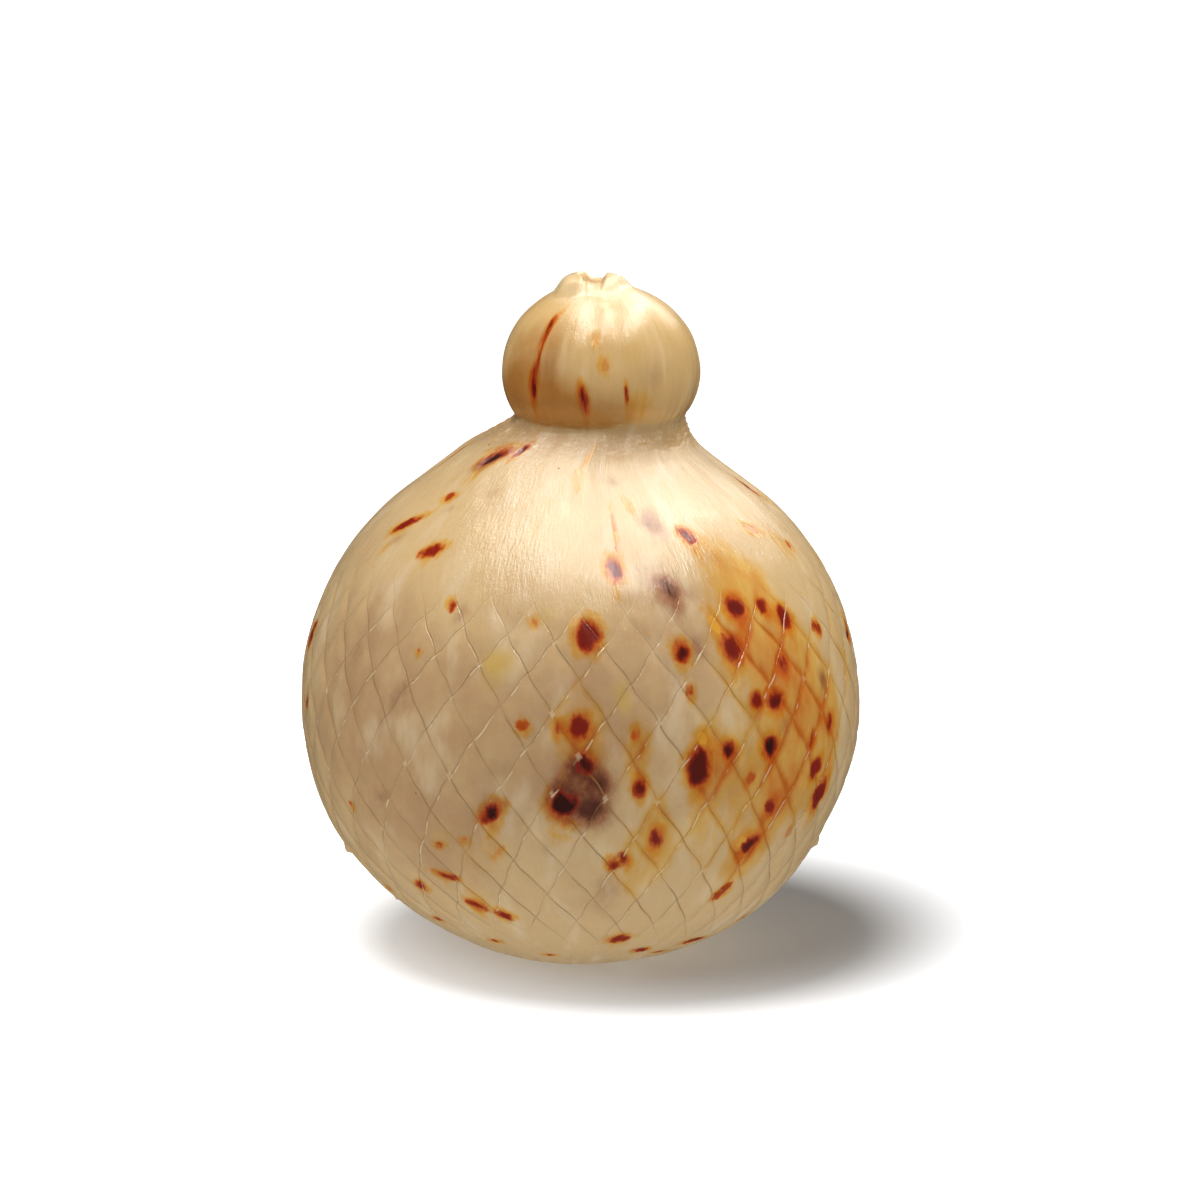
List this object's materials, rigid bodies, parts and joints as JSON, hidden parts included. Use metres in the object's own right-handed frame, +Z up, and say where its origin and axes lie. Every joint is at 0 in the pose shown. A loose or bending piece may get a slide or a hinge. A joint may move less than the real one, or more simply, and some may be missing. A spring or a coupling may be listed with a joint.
{
  "type": "caciocavallo cheese",
  "caption": "Whole stretched-curd cheese with a round net-marked belly, a tied neck, a small pinched head and chili flecks, standing upright on its settled foot.",
  "frame": {"origin": "centre of the flat spot that the cheese stands on, under the middle of its belly", "axes": "+Z up from the foot to the mouth of the head; -Y is the side with the crease down the left of the head; +X is to the right as seen from there"},
  "size_m": [0.1403, 0.1398, 0.172],
  "materials": {
    "cheese": "waxy, slightly oily ivory rind with chili flecks"
  },
  "bodies": {
    "root": {"cheese": "cheese"}
  },
  "joints": []
}
